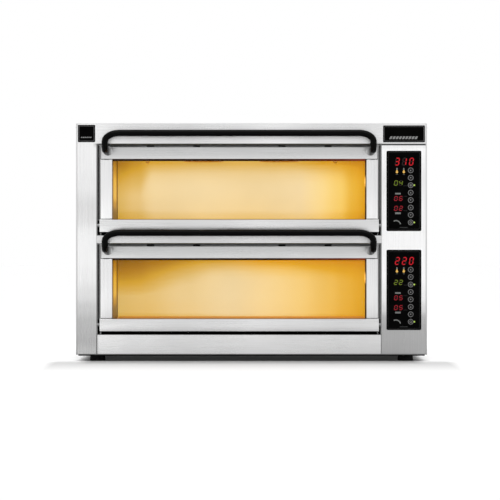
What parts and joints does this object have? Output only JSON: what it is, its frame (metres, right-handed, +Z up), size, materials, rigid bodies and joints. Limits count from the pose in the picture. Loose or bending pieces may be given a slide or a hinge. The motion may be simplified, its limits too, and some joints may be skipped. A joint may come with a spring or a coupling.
{
  "type": "countertop pizza oven",
  "caption": "Wide two-deck electric countertop oven: stainless cabinet, drop-down glazed doors with black bar handles, lit stone-floored chambers, control column at the right.",
  "frame": {"origin": "on the surface the oven stands on, under the middle of the whole outline (door handles and cable gland included)", "axes": "+X to the right seen from the front, +Y to the back, +Z up"},
  "size_m": [1, 0.6396, 0.678],
  "materials": {
    "stainless": "satin",
    "dark_stainless": "satin",
    "black_paint": "satin",
    "black_acrylic": "gloss",
    "key_cap": "satin",
    "window_glass": "gloss",
    "liner_steel": "satin",
    "hearth_stone": "matte",
    "element_sheath": "satin",
    "lamp_glass": "gloss",
    "mineral_wool": "matte",
    "circuit_board": "satin",
    "black_plastic": "matte",
    "foot_rubber": "matte",
    "pin_steel": "polished"
  },
  "bodies": {
    "cabinet": {"front_frame": "stainless", "control_fascia": "stainless", "divider_panel": "stainless", "base_front_panel": "stainless", "left_side_panel": "stainless", "right_side_panel": "stainless", "rear_panel": "stainless", "top_cover": "stainless", "base_tray": "dark_stainless", "left_hinge_rail": "dark_stainless", "right_hinge_rail": "dark_stainless", "upper_control_panel": "black_acrylic", "lower_control_panel": "black_acrylic", "left_badge": "black_acrylic", "right_badge": "black_acrylic", "upper_chamber_liner": "liner_steel", "lower_chamber_liner": "liner_steel", "upper_hearth_stone": "hearth_stone", "lower_hearth_stone": "hearth_stone", "upper_top_element": "element_sheath", "upper_bottom_element": "element_sheath", "lower_top_element": "element_sheath", "lower_bottom_element": "element_sheath", "upper_lamp": "lamp_glass", "lower_lamp": "lamp_glass", "insulation_jacket": "mineral_wool", "control_board": "circuit_board", "fan_frame": "black_plastic", "cable_gland": "black_plastic", "foot_front_left": "foot_rubber", "foot_front_right": "foot_rubber", "foot_rear_left": "foot_rubber", "foot_rear_right": "foot_rubber"},
    "lower_door": {"lower_door_frame": "stainless", "lower_outer_glass": "window_glass", "lower_inner_glass": "window_glass", "lower_handle": "black_paint", "lower_hinge_shaft": "pin_steel"},
    "upper_door": {"upper_door_frame": "stainless", "upper_outer_glass": "window_glass", "upper_inner_glass": "window_glass", "upper_handle": "black_paint", "upper_hinge_shaft": "pin_steel"},
    "fan_rotor": {"fan_rotor": "black_plastic"},
    "lower_key_1": {"lower_key_1": "key_cap"},
    "lower_key_2": {"lower_key_2": "key_cap"},
    "lower_key_3": {"lower_key_3": "key_cap"},
    "lower_key_4": {"lower_key_4": "key_cap"},
    "lower_key_5": {"lower_key_5": "key_cap"},
    "lower_key_6": {"lower_key_6": "key_cap"},
    "lower_key_7": {"lower_key_7": "key_cap"},
    "lower_key_8": {"lower_key_8": "key_cap"},
    "upper_key_1": {"upper_key_1": "key_cap"},
    "upper_key_2": {"upper_key_2": "key_cap"},
    "upper_key_3": {"upper_key_3": "key_cap"},
    "upper_key_4": {"upper_key_4": "key_cap"},
    "upper_key_5": {"upper_key_5": "key_cap"},
    "upper_key_6": {"upper_key_6": "key_cap"},
    "upper_key_7": {"upper_key_7": "key_cap"},
    "upper_key_8": {"upper_key_8": "key_cap"}
  },
  "joints": [
    {"name": "lower_door_hinge", "type": "hinge", "parent": "cabinet", "child": "lower_door", "pos_m": [-0.035, -0.253, 0.103], "axis": [1, 0, 0], "range_deg": [0, 90], "stiffness_Nm_per_rad": 2.5, "springref_deg": -45.84},
    {"name": "upper_door_hinge", "type": "hinge", "parent": "cabinet", "child": "upper_door", "pos_m": [-0.035, -0.253, 0.386], "axis": [1, 0, 0], "range_deg": [0, 90], "stiffness_Nm_per_rad": 2.5, "springref_deg": -45.84},
    {"name": "fan_spin", "type": "hinge", "parent": "cabinet", "child": "fan_rotor", "pos_m": [0.435, 0.28135, 0.24], "axis": [0, 1, 0], "continuous": true},
    {"name": "lower_key_1_press", "type": "slide", "parent": "cabinet", "child": "lower_key_1", "axis": [0, 1, 0], "range_m": [0, 0.0006], "stiffness_N_per_m": 200},
    {"name": "lower_key_2_press", "type": "slide", "parent": "cabinet", "child": "lower_key_2", "axis": [0, 1, 0], "range_m": [0, 0.0006], "stiffness_N_per_m": 200},
    {"name": "lower_key_3_press", "type": "slide", "parent": "cabinet", "child": "lower_key_3", "axis": [0, 1, 0], "range_m": [0, 0.0006], "stiffness_N_per_m": 200},
    {"name": "lower_key_4_press", "type": "slide", "parent": "cabinet", "child": "lower_key_4", "axis": [0, 1, 0], "range_m": [0, 0.0006], "stiffness_N_per_m": 200},
    {"name": "lower_key_5_press", "type": "slide", "parent": "cabinet", "child": "lower_key_5", "axis": [0, 1, 0], "range_m": [0, 0.0006], "stiffness_N_per_m": 200},
    {"name": "lower_key_6_press", "type": "slide", "parent": "cabinet", "child": "lower_key_6", "axis": [0, 1, 0], "range_m": [0, 0.0006], "stiffness_N_per_m": 200},
    {"name": "lower_key_7_press", "type": "slide", "parent": "cabinet", "child": "lower_key_7", "axis": [0, 1, 0], "range_m": [0, 0.0006], "stiffness_N_per_m": 200},
    {"name": "lower_key_8_press", "type": "slide", "parent": "cabinet", "child": "lower_key_8", "axis": [0, 1, 0], "range_m": [0, 0.0006], "stiffness_N_per_m": 200},
    {"name": "upper_key_1_press", "type": "slide", "parent": "cabinet", "child": "upper_key_1", "axis": [0, 1, 0], "range_m": [0, 0.0006], "stiffness_N_per_m": 200},
    {"name": "upper_key_2_press", "type": "slide", "parent": "cabinet", "child": "upper_key_2", "axis": [0, 1, 0], "range_m": [0, 0.0006], "stiffness_N_per_m": 200},
    {"name": "upper_key_3_press", "type": "slide", "parent": "cabinet", "child": "upper_key_3", "axis": [0, 1, 0], "range_m": [0, 0.0006], "stiffness_N_per_m": 200},
    {"name": "upper_key_4_press", "type": "slide", "parent": "cabinet", "child": "upper_key_4", "axis": [0, 1, 0], "range_m": [0, 0.0006], "stiffness_N_per_m": 200},
    {"name": "upper_key_5_press", "type": "slide", "parent": "cabinet", "child": "upper_key_5", "axis": [0, 1, 0], "range_m": [0, 0.0006], "stiffness_N_per_m": 200},
    {"name": "upper_key_6_press", "type": "slide", "parent": "cabinet", "child": "upper_key_6", "axis": [0, 1, 0], "range_m": [0, 0.0006], "stiffness_N_per_m": 200},
    {"name": "upper_key_7_press", "type": "slide", "parent": "cabinet", "child": "upper_key_7", "axis": [0, 1, 0], "range_m": [0, 0.0006], "stiffness_N_per_m": 200},
    {"name": "upper_key_8_press", "type": "slide", "parent": "cabinet", "child": "upper_key_8", "axis": [0, 1, 0], "range_m": [0, 0.0006], "stiffness_N_per_m": 200}
  ]
}
